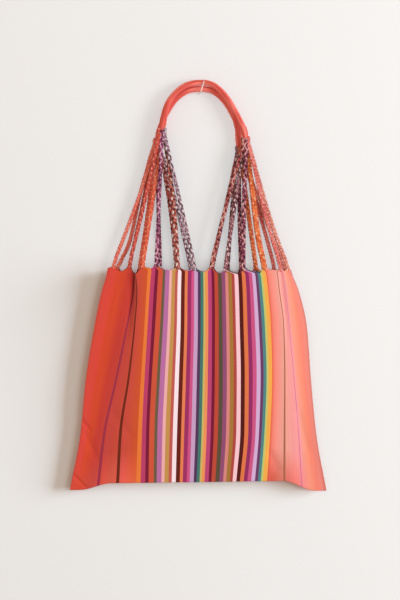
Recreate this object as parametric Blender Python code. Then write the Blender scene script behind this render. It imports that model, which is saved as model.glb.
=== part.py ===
# A warp-striped cotton tote that hangs by two tube handles from a wire hook.
# Metres, +Z up. The wall is the plane y = 0 and the front panel faces -Y.
# The origin is the centre of the hook's end at the wall.

import functools
import math

import bmesh
import bpy
import numpy as np
from mathutils import Vector

MM = 0.001
PART_GAP = 0.3 * MM

# The cloth, folded once at the bottom and sewn up both sides
CLOTH_WIDTH = 450.0 * MM
CLOTH_THICKNESS = 1.5 * MM
RIM_HEIGHT = -312.0 * MM
FOLD_HEIGHT = -684.5 * MM
FOLD_RISE_TO_RIGHT = 6.0 * MM
LEFT_CORNER_DROOP = 11.0 * MM
RIGHT_CORNER_DROOP = 18.0 * MM
DROOP_STARTS = 20.0 * MM
DROOP_ENDS = 75.0 * MM
CORNER_DROP = 3.0 * MM
EDGE_ROUND = 0.8 * MM

# Depths are measured from the wall to the outside of the cloth
SEAM_DEPTH_AT_RIM = 10.0 * MM
SEAM_DEPTH_AT_FOLD = 7.6 * MM
SEAM_THICKNESS = 3.8 * MM
BACK_DEPTH = 2.6 * MM
BACK_EDGE_REACH = 30.0 * MM
BELLY_AT_RIM = 17.5 * MM
BELLY_AT_FOLD = 3.0 * MM
LEFT_RISE = 34.0 * MM
RIGHT_RISE = 24.0 * MM

# Where each warp line of the cloth runs: its place across the flat cloth,
# then its x at each level, from the bottom fold up to the rim.
LEVELS = (0.0, 0.25, 0.5, 0.75, 0.9, 1.0)
WARP_LINES_MM = (
    # across, at the fold, a quarter, half, three quarters, nine tenths, rim
    (0.0, -225.9, -207.4, -197.9, -182.4, -170.6, -159.0),
    (50.8, -175.1, -161.5, -147.5, -125.1, -115.0, -112.0),
    (85.0, -140.9, -132.1, -123.0, -111.5, -106.5, -107.5),
    (115.5, -110.4, -105.5, -101.0, -96.8, -93.3, -91.9),
    (347.5, 121.6, 125.1, 127.4, 125.1, 120.9, 119.0),
    (375.2, 149.3, 149.6, 150.0, 148.0, 140.9, 136.5),
    (405.3, 179.4, 173.8, 166.0, 157.5, 151.5, 146.5),
    (450.0, 224.5, 207.0, 197.4, 189.9, 177.0, 162.0),
)

# Folds of the front panel: place across the cloth, half width, depth,
# then the share of the height at which each begins and reaches full depth.
FOLDS_MM = (
    # across, half width, depth, begins, full
    (57.0, 15.0, 11.0, 0.62, 0.98),
    (26.0, 16.0, 2.2, 0.40, 0.90),
    (392.0, 12.0, 3.0, 0.55, 0.90),
    (300.0, 30.0, 1.2, 0.30, 0.80),
)

# The rim: the foot of each cord, and the dip that follows it to the right. Each cord
# bows aside, to the right where its bow is positive, by the most at a share of its way down.
FRONT_RIM_MM = (
    # foot x, foot height, dip x, dip height, bow, share down, colour of the cord
    (-148.8, -304.5, -135.6, -312.0, 2.6, 0.50, "E8603C"),
    (-120.8, -305.4, -111.6, -317.4, 1.0, 0.50, "C94A3E"),
    (-97.1, -304.5, -82.3, -307.3, 1.0, 0.50, "EC6038"),
    (-73.5, -302.0, -50.8, -310.1, 0.3, 0.50, "A0487C"),
    (-36.2, -306.0, -19.3, -311.2, 3.5, 0.50, "B4583C"),
    (-7.0, -308.5, 9.6, -313.3, 0.8, 0.50, "8A5A92"),
    (21.9, -306.6, 36.8, -316.0, -2.0, 0.45, "A8384C"),
    (46.6, -310.0, 70.9, -316.8, 0.0, 0.50, "8C5A50"),
    (77.9, -308.7, 107.6, -314.8, -1.5, 0.50, "7C3A62"),
    (114.6, -306.5, 131.8, -310.1, -3.8, 0.74, "F08038"),
    (143.4, -310.0, 149.9, -311.6, -3.0, 0.55, "E0607C"),
    (156.2, -308.7, None, None, -4.2, 0.65, "E8704C"),
)
BACK_RIM_MM = (
    # foot x, foot height, dip x, dip height, bow, share down, colour of the cord
    (-142.6, -307.5, -130.0, -315.0, 9.0, 0.80, "B85A48"),
    (-121.5, -308.0, -111.0, -316.0, 1.0, 0.50, "D8604C"),
    (-103.3, -307.5, -82.0, -315.5, 1.2, 0.60, "E07850"),
    (-67.4, -307.5, -52.0, -316.0, 0.0, 0.50, "B48090"),
    (-38.4, -308.5, -26.0, -316.0, 4.7, 0.45, "8A3A3C"),
    (-14.0, -309.0, 8.0, -316.5, 4.5, 0.36, "6E5A8C"),
    (24.4, -308.5, 40.0, -317.0, 0.0, 0.50, "903848"),
    (51.6, -310.0, 63.0, -317.0, -1.5, 0.50, "7C5048"),
    (74.4, -309.0, 89.0, -316.0, -1.5, 0.50, "6A3A5C"),
    (100.6, -308.0, 119.0, -315.5, 0.0, 0.50, "E8884C"),
    (133.0, -309.0, 142.0, -315.0, 1.0, 0.60, "D86858"),
    (150.6, -309.5, None, None, -2.0, 0.65, "E07058"),
)
FOOT_HALF_WIDTH = 3.3 * MM
RIM_LINE_POINTS = 451
DIPS_PER_SCALLOP = 4
SCALLOP_STARTS = 0.972

# Rows of the panels as shares of the height, close together by the fold and the rim
ROW_HEIGHTS = (0.0, 0.02, 0.07, 0.15, 0.25, 0.36, 0.47, 0.58, 0.68, 0.77, 0.85, 0.91, 0.952, 0.976, 1.0)

# Tube handles
HANDLE_RADIUS = 5.2 * MM
HANDLE_SIDES_RESOLUTION = 4
HANDLE_STEP = 11.0 * MM
ROUTE_CURVE_PARTS = 12
FRONT_HANDLE_MM = (
    # x, depth, height, from the left tip over the hook to the right tip
    (-63.4, 21.5, -67.9),
    (-62.5, 21.0, -56.0),
    (-60.7, 20.0, -43.8),
    (-56.2, 19.0, -24.5),
    (-49.5, 18.4, -12.3),
    (-42.0, 17.8, -2.6),
    (-33.6, 16.6, 5.3),
    (-24.0, 15.4, 12.1),
    (-11.4, 12.6, 16.8),
    (3.5, 10.4, 18.7),
    (14.9, 12.6, 17.7),
    (25.2, 16.4, 13.8),
    (34.6, 18.8, 7.2),
    (43.4, 20.0, -2.4),
    (52.5, 20.4, -14.2),
    (59.8, 20.6, -26.4),
    (67.7, 21.0, -40.6),
    (74.9, 21.2, -55.5),
    (80.2, 21.4, -69.3),
    (82.6, 21.5, -84.0),
)
BACK_HANDLE_MM = (
    # x, depth, height, from the left tip over the hook to the right tip
    (-72.6, 8.0, -85.8),
    (-67.7, 8.0, -65.6),
    (-61.6, 8.0, -44.6),
    (-53.4, 8.0, -28.9),
    (-42.7, 8.0, -12.3),
    (-32.4, 7.6, -3.2),
    (-23.5, 7.2, 3.4),
    (-9.6, 7.0, 7.3),
    (2.6, 7.0, 8.1),
    (14.9, 7.0, 7.4),
    (25.4, 7.0, 4.0),
    (35.4, 7.0, -2.6),
    (44.0, 7.2, -11.2),
    (51.6, 7.4, -21.4),
    (58.6, 7.6, -33.6),
    (65.6, 8.0, -48.6),
    (69.2, 8.0, -64.6),
    (70.8, 8.0, -82.0),
    (71.8, 8.0, -98.0),
)

# Plaited cords
CORD_RADIUS = 3.2 * MM
CORD_RADIUS_AT_HANDLE = 1.6 * MM
CORD_WIDENS_UNTIL = 0.37
CORD_SLOT_ACROSS = 3.7 * MM
CORD_SLOT_DEEP = 3.6 * MM
CORD_STRAIGHT_END = 5.0 * MM
CORD_POINTS = 14
CORD_SIDES_RESOLUTION = 2
CORD_PAIRS_PER_BUNDLE = 3

# Two cords that leave a handle one behind the other pass clear of each other,
# by a swerve that is larger where their feet are close together.
PAIR_SWERVE = 1.1 * MM
PAIR_FOOT_SPACING = 24.0 * MM
PAIR_SWERVE_ENDS = 0.6

# Wire hook: straight out from the wall, then leaning right and rising under the handles
HOOK_RADIUS = 1.0 * MM
HOOK_REACH = 18.0 * MM
HOOK_STRAIGHT = 2.0 * MM
HOOK_RISE = 1.4 * MM
HOOK_LEAN = 4.2 * MM
HOOK_RISE_ENDS = 5.0 * MM
HOOK_BEND = 3.0 * MM
HOOK_TOP = (9.6 * MM, 20.4 * MM)
HOOK_BEND_STEPS = 4


def clear_scene():
    for obj in list(bpy.data.objects):
        bpy.data.objects.remove(obj, do_unlink=True)


def linear_colour(hex_colour):
    channels = [int(hex_colour[i : i + 2], 16) / 255 for i in (0, 2, 4)]
    linear = [c / 12.92 if c <= 0.04045 else ((c + 0.055) / 1.055) ** 2.4 for c in channels]
    return (*linear, 1.0)


def make_material(name, hex_colour, roughness, metallic=0.0):
    material = bpy.data.materials.new(name)
    material.use_nodes = True
    shader = material.node_tree.nodes["Principled BSDF"]
    shader.inputs["Base Color"].default_value = linear_colour(hex_colour)
    shader.inputs["Roughness"].default_value = roughness
    shader.inputs["Metallic"].default_value = metallic
    return material


def add_object(name, data, material):
    obj = bpy.data.objects.new(name, data)
    obj.data.materials.append(material)
    bpy.context.scene.collection.objects.link(obj)
    return obj


def mix(start, end, share):
    return start + (end - start) * share


def smooth_step(start, end, value):
    share = np.clip((value - start) / (end - start), 0.0, 1.0)
    return share * share * (3 - 2 * share)


def smooth_through(knots, values, where):
    """A cubic through the knots that doesn't overshoot between them."""
    knots = np.asarray(knots, float)
    values = np.asarray(values, float)
    steps = np.diff(knots)
    slopes = np.diff(values) / steps
    tangents = np.empty_like(values)
    tangents[0] = slopes[0]
    tangents[-1] = slopes[-1]
    for i in range(1, len(knots) - 1):
        before, after = slopes[i - 1], slopes[i]
        same_way = before * after > 0
        tangents[i] = 2 * before * after / (before + after) if same_way else 0.0
    i = int(np.clip(np.searchsorted(knots, where) - 1, 0, len(steps) - 1))
    share = (where - knots[i]) / steps[i]
    rise = steps[i] * tangents[i]
    settle = steps[i] * tangents[i + 1]
    return (
        values[i] * (2 * share**3 - 3 * share**2 + 1)
        + rise * (share**3 - 2 * share**2 + share)
        + values[i + 1] * (3 * share**2 - 2 * share**3)
        + settle * (share**3 - share**2)
    )


def warp_x(across, up):
    """The x of the warp line that lies this far across the flat cloth."""
    places = [row[0] * MM for row in WARP_LINES_MM]
    at_levels = []
    for level in range(len(LEVELS)):
        column = [row[1 + level] * MM for row in WARP_LINES_MM]
        at_levels.append(smooth_through(places, column, across))
    return smooth_through(LEVELS, at_levels, up)


@functools.lru_cache(maxsize=1)
def rim_line():
    """Places across the flat cloth, and the x of each along the rim."""
    places = np.linspace(0.0, CLOTH_WIDTH, RIM_LINE_POINTS)
    return places, [warp_x(place, 1.0) for place in places]


def across_at_rim(x):
    """The place across the flat cloth whose warp line meets the rim at x."""
    places, rim_x = rim_line()
    return float(np.interp(x, rim_x, places))


def fold_line_height(across):
    left = LEFT_CORNER_DROOP * (1 - smooth_step(DROOP_STARTS, DROOP_ENDS, across))
    from_right = CLOTH_WIDTH - across
    right = RIGHT_CORNER_DROOP * (1 - smooth_step(DROOP_STARTS, DROOP_ENDS, from_right))
    return FOLD_HEIGHT + FOLD_RISE_TO_RIGHT * across / CLOTH_WIDTH - left - right


def seam_depth(up):
    return mix(SEAM_DEPTH_AT_FOLD, SEAM_DEPTH_AT_RIM, up)


def front_depth(across, up):
    """Depth of the front panel: a belly between the seams, less its folds."""
    left = 1 - math.exp(-across / LEFT_RISE)
    right = 1 - math.exp(-(CLOTH_WIDTH - across) / RIGHT_RISE)
    belly = mix(BELLY_AT_FOLD, BELLY_AT_RIM, up)
    depth = seam_depth(up) + belly * left * right
    for place, half_width, fold_depth, begins, full in FOLDS_MM:
        offset = (across - place * MM) / (half_width * MM)
        depth -= fold_depth * MM * math.exp(-offset * offset) * smooth_step(begins, full, up)
    return depth


def back_depth(across, up):
    """Depth of the back panel: flat by the wall, coming forward to the seams."""
    edge = math.exp(-across / BACK_EDGE_REACH)
    edge += math.exp(-(CLOTH_WIDTH - across) / BACK_EDGE_REACH)
    return mix(BACK_DEPTH, seam_depth(up) - SEAM_THICKNESS, min(edge, 1.0))


def rim_knots(rim_rows):
    """(place across, height above the rim line) along a scalloped top edge."""
    knots = [(0.0, rim_rows[0][1] * MM - CORNER_DROP - RIM_HEIGHT)]
    for row, (foot_x, foot_height, dip_x, dip_height, *_) in enumerate(rim_rows):
        lift = foot_height * MM - RIM_HEIGHT
        foot_left = across_at_rim(foot_x * MM - FOOT_HALF_WIDTH)
        foot_right = across_at_rim(foot_x * MM + FOOT_HALF_WIDTH)
        knots += [(foot_left, lift), (foot_right, lift)]
        if row + 1 == len(rim_rows):
            break
        dip = (across_at_rim(dip_x * MM), dip_height * MM - RIM_HEIGHT)
        next_left = across_at_rim(rim_rows[row + 1][0] * MM - FOOT_HALF_WIDTH)
        next_lift = rim_rows[row + 1][1] * MM - RIM_HEIGHT
        for step in range(1, DIPS_PER_SCALLOP):
            place = mix(foot_right, next_left, step / DIPS_PER_SCALLOP)
            if place < dip[0]:
                share = (place - foot_right) / (dip[0] - foot_right)
                knots.append((place, mix(lift, dip[1], share)))
            else:
                share = (place - dip[0]) / (next_left - dip[0])
                knots.append((place, mix(dip[1], next_lift, share)))
    knots.append((CLOTH_WIDTH, rim_rows[-1][1] * MM - CORNER_DROP - RIM_HEIGHT))
    return knots


def panel_point(depth_of, across, up, lift):
    """A point on the outside of a panel; lift is the scallop's height there."""
    low = fold_line_height(across)
    height = mix(low, RIM_HEIGHT, up) + lift * smooth_step(SCALLOP_STARTS, 1.0, up)
    return Vector((warp_x(across, up), -depth_of(across, up), height))


def panel_grid(bm, rim_rows, depth_of):
    """Columns of vertices, evenly spaced at the fold and on the knots at the rim."""
    knots = rim_knots(rim_rows)
    columns = []
    for i, (place, lift) in enumerate(knots):
        even = CLOTH_WIDTH * i / (len(knots) - 1)
        column = []
        for up in ROW_HEIGHTS:
            across = mix(even, place, up)
            column.append(bm.verts.new(panel_point(depth_of, across, up, lift)))
        columns.append(column)
    return columns


def seam_line(bm, front_column, back_column, outward):
    """Vertices along a side seam, halfway between the panels and rounded out."""
    line = []
    for front, back in zip(front_column, back_column):
        middle = (front.co + back.co) / 2
        line.append(bm.verts.new(middle + Vector((outward * EDGE_ROUND, 0.0, 0.0))))
    return line


def fold_line(bm, front_columns, back_columns):
    """Vertices along the bottom fold, halfway between the panels and rounded down."""
    line = []
    for front, back in zip(front_columns, back_columns):
        middle = (front[0].co + back[0].co) / 2
        line.append(bm.verts.new(middle - Vector((0.0, 0.0, EDGE_ROUND))))
    return line


def build_bag_body():
    """The cloth: two panels, two sewn seams and the bottom fold, thickened inward."""
    bm = bmesh.new()
    front = panel_grid(bm, FRONT_RIM_MM, front_depth)
    back = panel_grid(bm, BACK_RIM_MM, back_depth)
    left = seam_line(bm, front[0], back[0], -1)
    right = seam_line(bm, front[-1], back[-1], 1)
    fold = fold_line(bm, front, back)
    rows = len(ROW_HEIGHTS)
    for i in range(len(front) - 1):
        for j in range(rows - 1):
            bm.faces.new((front[i][j], front[i + 1][j], front[i + 1][j + 1], front[i][j + 1]))
            bm.faces.new((back[i][j], back[i][j + 1], back[i + 1][j + 1], back[i + 1][j]))
        bm.faces.new((fold[i], fold[i + 1], front[i + 1][0], front[i][0]))
        bm.faces.new((back[i][0], back[i + 1][0], fold[i + 1], fold[i]))
    for j in range(rows - 1):
        bm.faces.new((left[j], front[0][j], front[0][j + 1], left[j + 1]))
        bm.faces.new((back[0][j], left[j], left[j + 1], back[0][j + 1]))
        bm.faces.new((front[-1][j], right[j], right[j + 1], front[-1][j + 1]))
        bm.faces.new((right[j], back[-1][j], back[-1][j + 1], right[j + 1]))
    bm.faces.new((front[0][0], left[0], back[0][0], fold[0]))
    bm.faces.new((front[-1][0], fold[-1], back[-1][0], right[0]))
    mesh = bpy.data.meshes.new("bag_body")
    bm.to_mesh(mesh)
    bm.free()
    mesh.shade_smooth()
    body = add_object("bag_body", mesh, make_material("bag_cotton", "E8503C", 0.9))
    thicken = body.modifiers.new("thickness", "SOLIDIFY")
    thicken.thickness = CLOTH_THICKNESS
    thicken.offset = -1.0
    thicken.use_even_offset = True


def smooth_route(points, step):
    """Evenly spaced points on a smooth curve through the given ones."""
    points = [Vector(point) for point in points]
    ends = [2 * points[0] - points[1]] + points + [2 * points[-1] - points[-2]]
    dense = []
    for i in range(1, len(ends) - 2):
        before, start, end, after = ends[i - 1 : i + 3]
        for k in range(ROUTE_CURVE_PARTS):
            t = k / ROUTE_CURVE_PARTS
            dense.append(
                0.5
                * (
                    2 * start
                    + (end - before) * t
                    + (2 * before - 5 * start + 4 * end - after) * t**2
                    + (3 * start - before - 3 * end + after) * t**3
                )
            )
    dense.append(points[-1])
    lengths = [0.0]
    for a, b in zip(dense, dense[1:]):
        lengths.append(lengths[-1] + (b - a).length)
    count = max(2, round(lengths[-1] / step))
    places = np.linspace(0.0, lengths[-1], count + 1)
    axes = [np.interp(places, lengths, [p[axis] for p in dense]) for axis in range(3)]
    return [Vector(point) for point in zip(*axes)]


def build_tube(name, route, radii, resolution, material):
    """A round tube along the route, with flat ends and a radius at each point."""
    curve = bpy.data.curves.new(name, "CURVE")
    curve.dimensions = "3D"
    curve.bevel_depth = max(radii)
    curve.bevel_resolution = resolution
    curve.use_fill_caps = True
    spline = curve.splines.new("POLY")
    spline.points.add(len(route) - 1)
    for point, place, radius in zip(spline.points, route, radii):
        point.co = (*place, 1.0)
        point.radius = radius / curve.bevel_depth
    spline.use_smooth = True
    return add_object(name, curve, material)


def handle_route(rows_mm):
    points = [Vector((x, -depth, height)) * MM for x, depth, height in rows_mm]
    return smooth_route(points, HANDLE_STEP)


def build_handles():
    routes = {
        "handle_front": handle_route(FRONT_HANDLE_MM),
        "handle_back": handle_route(BACK_HANDLE_MM),
    }
    for name, route in routes.items():
        material = make_material(name + "_cloth", "E8584C", 0.8)
        build_tube(name, route, [HANDLE_RADIUS] * len(route), HANDLE_SIDES_RESOLUTION, material)
    return routes


def cord_radius(share):
    growth = smooth_step(0.0, CORD_WIDENS_UNTIL, share)
    return mix(CORD_RADIUS_AT_HANDLE, CORD_RADIUS, growth)


def build_cord(name, start, out, foot, swerve, bow, bow_share, material):
    """A cord from a handle's end face to its foot on the rim, growing wider."""
    power = math.log(0.5) / math.log(bow_share)
    top = start + out * CORD_STRAIGHT_END
    low = foot + Vector((0.0, 0.0, CORD_STRAIGHT_END))
    route = [start]
    for k in range(CORD_POINTS - 2):
        share = k / (CORD_POINTS - 3)
        aside = swerve * math.sin(math.pi * min(share / PAIR_SWERVE_ENDS, 1.0))
        bend = bow * math.sin(math.pi * share**power)
        route.append(top.lerp(low, share) + Vector((bend, -aside, 0.0)))
    route.append(foot)
    length = (low - top).length
    radii = [cord_radius((point - start).length / length) for point in route]
    build_tube(name, route, radii, CORD_SIDES_RESOLUTION, material)


def build_bundle(side, first, feet, rim_rows, tip, inner, row_of_left):
    """Six cords from a handle's end face, in three pairs of one before the other."""
    out = (tip - inner).normalized()
    across = Vector((1.0, 0.0, 0.0))
    across = (across - across.dot(out) * out).normalized()
    forward = out.cross(across).normalized()
    middle_pair = (CORD_PAIRS_PER_BUNDLE - 1) / 2
    for pair in range(CORD_PAIRS_PER_BUNDLE):
        spacing = feet[2 * pair + 1].x - feet[2 * pair].x
        swerve = PAIR_SWERVE * (PAIR_FOOT_SPACING / spacing) ** 2
        for place in (0, 1):
            row = row_of_left if place == 0 else -row_of_left
            start = tip + out * PART_GAP + across * (pair - middle_pair) * CORD_SLOT_ACROSS
            start += forward * row * CORD_SLOT_DEEP / 2
            i = 2 * pair + place
            bow, bow_share, colour = rim_rows[i][4:]
            name = f"cord_{side}_{first + i:02d}"
            material = make_material(name + "_yarn", colour, 0.85)
            build_cord(name, start, out, feet[i], row * swerve, bow * MM, bow_share, material)


def build_cords(side, rim_rows, depth_of, handle):
    """The twelve cords of one panel, six from each tip of its handle."""
    outward = 1 if side == "front" else -1
    feet = []
    for foot_x, foot_height, *_ in rim_rows:
        depth = depth_of(across_at_rim(foot_x * MM), 1.0) - outward * CLOTH_THICKNESS / 2
        feet.append(Vector((foot_x * MM, -depth, foot_height * MM + PART_GAP)))
    half = len(feet) // 2
    build_bundle(side, 1, feet[:half], rim_rows[:half], handle[0], handle[1], -outward)
    build_bundle(side, half + 1, feet[half:], rim_rows[half:], handle[-1], handle[-2], outward)


def build_hook():
    """A wire straight out from the wall, then bent up and leaning to the right."""
    top = Vector((HOOK_TOP[0], -HOOK_REACH, HOOK_TOP[1]))
    corner = Vector((HOOK_LEAN, -HOOK_REACH, HOOK_RISE))
    straight_end = Vector((0.0, -HOOK_STRAIGHT, 0.0))
    rise_end = straight_end.lerp(corner, HOOK_RISE_ENDS / HOOK_REACH)
    rise_end.z = HOOK_RISE
    bend_start = corner + (rise_end - corner).normalized() * HOOK_BEND
    bend_end = corner + (top - corner).normalized() * HOOK_BEND
    route = [Vector((0.0, 0.0, 0.0)), straight_end, rise_end]
    for k in range(HOOK_BEND_STEPS + 1):
        t = k / HOOK_BEND_STEPS
        route.append(bend_start.lerp(corner, t).lerp(corner.lerp(bend_end, t), t))
    route += [bend_end.lerp(top, 0.5), top]
    material = make_material("hook_paint", "EFE9E2", 0.4)
    build_tube("hook", route, [HOOK_RADIUS] * len(route), CORD_SIDES_RESOLUTION, material)


def main():
    clear_scene()
    build_bag_body()
    handles = build_handles()
    build_cords("front", FRONT_RIM_MM, front_depth, handles["handle_front"])
    build_cords("back", BACK_RIM_MM, back_depth, handles["handle_back"])
    build_hook()


main()
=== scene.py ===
import math

import bmesh
import bpy
import numpy as np
from mathutils import Matrix, Vector


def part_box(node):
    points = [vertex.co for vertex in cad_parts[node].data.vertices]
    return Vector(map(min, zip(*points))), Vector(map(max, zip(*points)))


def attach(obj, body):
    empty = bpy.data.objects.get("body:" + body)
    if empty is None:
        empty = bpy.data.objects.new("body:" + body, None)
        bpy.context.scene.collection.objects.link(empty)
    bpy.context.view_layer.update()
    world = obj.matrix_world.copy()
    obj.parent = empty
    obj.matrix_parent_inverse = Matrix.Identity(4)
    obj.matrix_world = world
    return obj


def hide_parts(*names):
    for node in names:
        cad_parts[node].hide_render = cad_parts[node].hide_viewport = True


# A striped cotton tote hanging by two cloth handles from a wire hook.
# The wall is the plane y = 0, the bag's front faces -Y, and sizes below are in millimetres.

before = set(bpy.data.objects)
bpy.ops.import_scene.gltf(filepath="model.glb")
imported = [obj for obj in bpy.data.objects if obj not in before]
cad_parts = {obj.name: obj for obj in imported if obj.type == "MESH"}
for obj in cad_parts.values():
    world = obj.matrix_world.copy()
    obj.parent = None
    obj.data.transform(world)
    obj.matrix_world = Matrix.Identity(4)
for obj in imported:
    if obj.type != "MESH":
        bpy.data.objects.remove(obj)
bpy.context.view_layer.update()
mm = 0.001
print("frame loaded:", len(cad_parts), "nodes")


# Small helpers

def mix(start, end, share):
    return start + (end - start) * share


def smoothStep(start, end, value):
    share = np.clip((value - start) / (end - start), 0.0, 1.0)
    return share * share * (3 - 2 * share)


def smoothThrough(knots, values, where):
    # a cubic through the knots that doesn't overshoot
    # values may have one column for each place asked for
    knots = np.asarray(knots, float)
    values = np.asarray(values, float)
    where = np.asarray(where, float)
    steps = np.diff(knots)
    slopes = (np.diff(values, axis=0).T / steps).T
    before, after = slopes[:-1], slopes[1:]
    sameWay = before * after > 0
    tangents = np.empty_like(values)
    tangents[0], tangents[-1] = slopes[0], slopes[-1]
    tangents[1:-1] = np.where(sameWay, 2 * before * after / np.where(sameWay, before + after, 1.0), 0.0)
    i = np.clip(np.searchsorted(knots, where) - 1, 0, len(steps) - 1)
    share = (where - knots[i]) / steps[i]
    column = (np.arange(len(where)),) if values.ndim == 2 else ()
    low, high = values[(i, *column)], values[(i + 1, *column)]
    rise, settle = tangents[(i, *column)] * steps[i], tangents[(i + 1, *column)] * steps[i]
    return (
        low * (2 * share**3 - 3 * share**2 + 1)
        + rise * (share**3 - 2 * share**2 + share)
        + high * (3 * share**2 - 2 * share**3)
        + settle * (share**3 - share**2)
    )


def addObject(name, mesh, material):
    obj = bpy.data.objects.new(name, mesh)
    bpy.context.scene.collection.objects.link(obj)
    mesh.materials.append(material)
    return obj


def meshFrom(bm, name):
    mesh = bpy.data.meshes.new(name)
    bm.to_mesh(mesh)
    bm.free()
    mesh.shade_smooth()
    return mesh


def sectionMiddle(node, point, normal, towards=None):
    # the middle and the half extents of the cut that a plane makes through a tube node,
    # on the side of the point that towards shows
    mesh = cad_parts[node].data
    places = np.array([vertex.co[:] for vertex in mesh.vertices])
    ends = np.array([edge.vertices[:] for edge in mesh.edges])
    a, b = places[ends[:, 0]], places[ends[:, 1]]
    heightA, heightB = (a - point) @ normal, (b - point) @ normal
    cut = heightA * heightB < 0
    a, b, heightA, heightB = a[cut], b[cut], heightA[cut], heightB[cut]
    crossings = a + (b - a) * (heightA / (heightA - heightB))[:, None]
    if towards is not None:
        crossings = crossings[(crossings - point) @ towards > 0]
    return (crossings.min(axis=0) + crossings.max(axis=0)) / 2, np.ptp(crossings, axis=0) / 2


def pathLengths(path):
    return np.concatenate([[0.0], np.cumsum(np.linalg.norm(np.diff(path, axis=0), axis=1))])


def alongColumns(where, knots, rows):
    # a linear look-up in each of the three columns of rows
    return np.stack([np.interp(where, knots, rows[:, axis]) for axis in range(3)], axis=-1)


def smoothRoute(points, step):
    # evenly spaced points on a smooth curve through the given ones
    points = np.array(points, float)
    lengths = pathLengths(points)
    count = max(2, round(lengths[-1] / step))
    places = np.linspace(0.0, lengths[-1], count + 1)
    return np.stack([smoothThrough(lengths, points[:, axis], places) for axis in range(3)], axis=1)


def tubeMesh(name, path, radii, sides):
    # a round tube along the path, from a bevelled curve
    # its UV map has X once along the tube and Y once round it
    curve = bpy.data.curves.new(name, "CURVE")
    curve.dimensions = "3D"
    curve.bevel_depth = float(np.max(radii))
    curve.bevel_resolution = sides // 2 - 2
    curve.use_fill_caps = True
    spline = curve.splines.new("POLY")
    spline.points.add(len(path) - 1)
    for point, place, radius in zip(spline.points, path, radii):
        point.co = (*place, 1.0)
        point.radius = radius / curve.bevel_depth
    holder = bpy.data.objects.new(name, curve)
    bpy.context.scene.collection.objects.link(holder)
    graph = bpy.context.evaluated_depsgraph_get()
    mesh = bpy.data.meshes.new_from_object(holder.evaluated_get(graph), depsgraph=graph)
    bpy.data.objects.remove(holder)
    bpy.data.curves.remove(curve)
    mesh.shade_smooth()
    return mesh


# Materials

def linear(hexColour):
    # an sRGB hex colour as the linear one that shaders read
    channels = [int(hexColour[i : i + 2], 16) / 255 for i in (0, 2, 4)]
    return [c / 12.92 if c <= 0.04045 else ((c + 0.055) / 1.055) ** 2.4 for c in channels] + [1.0]


def darker(hexColour, share):
    return "".join("%02X" % round(share * int(hexColour[i : i + 2], 16)) for i in (0, 2, 4))


def addNode(tree, kind, inputs=None, **settings):
    # one node with its settings, and its inputs set or linked
    node = tree.nodes.new("ShaderNode" + kind)
    for name, value in settings.items():
        setattr(node, name, value)
    for socket, value in (inputs or {}).items():
        if isinstance(value, bpy.types.NodeSocket):
            tree.links.new(value, node.inputs[socket])
        else:
            node.inputs[socket].default_value = value
    return node


def startMaterial(name, roughness, specular=0.5, sheen=0.0):
    material = bpy.data.materials.new(name)
    material.use_nodes = True
    tree = material.node_tree
    shader = tree.nodes["Principled BSDF"]
    shader.inputs["Roughness"].default_value = roughness
    shader.inputs["Specular IOR Level"].default_value = specular
    shader.inputs["Sheen Weight"].default_value = sheen
    return material, tree, shader


def setStops(ramp, stops):
    # fills a colour ramp with (place, colour) stops
    for element in list(ramp.elements)[1:]:
        ramp.elements.remove(element)
    ramp.elements[0].position, ramp.elements[0].color = stops[0]
    for place, colour in stops[1:]:
        ramp.elements.new(place).color = colour


# The CAD cords: their centre lines and feet are measured for the plaits and the scalloped rims

cords = {
    "count": 12,                # on either side
    "inBundle": 6,              # of them at each end of a handle
    "cuts": 13,                 # level cuts along a cord
    "endInset": 0.6,            # how far inside its ends the first and last cuts lie
    "footCut": 1.0,             # how far above its foot a cord is cut to find the foot's place
}
upward = np.array([0.0, 0.0, 1.0])


def cordLine(node):
    # a cord's centre line and radius, from its top end to its foot
    low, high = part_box(node)
    inset = cords["endInset"] * mm
    heights = np.linspace(high[2] - inset, low[2] + inset, cords["cuts"])
    sections = [sectionMiddle(node, height * upward, upward) for height in heights]
    middles = [middle for middle, reach in sections]
    return np.array(middles), np.array([reach[1] for middle, reach in sections])


def cordFeet(side):
    # (x, height) of the lower end of each cord of a panel, left to right
    feet = []
    for number in range(1, cords["count"] + 1):
        node = f"cord_{side}_{number:02d}"
        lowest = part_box(node)[0][2]
        middle = sectionMiddle(node, (lowest + cords["footCut"] * mm) * upward, upward)[0]
        feet.append((middle[0] / mm, lowest / mm))
    return feet


# The cloth, one length folded at the bottom and sewn up both sides. It has the outline and the
# folds of the CAD solid, on more warp lines, with a second narrow pleat and creases added.

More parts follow.
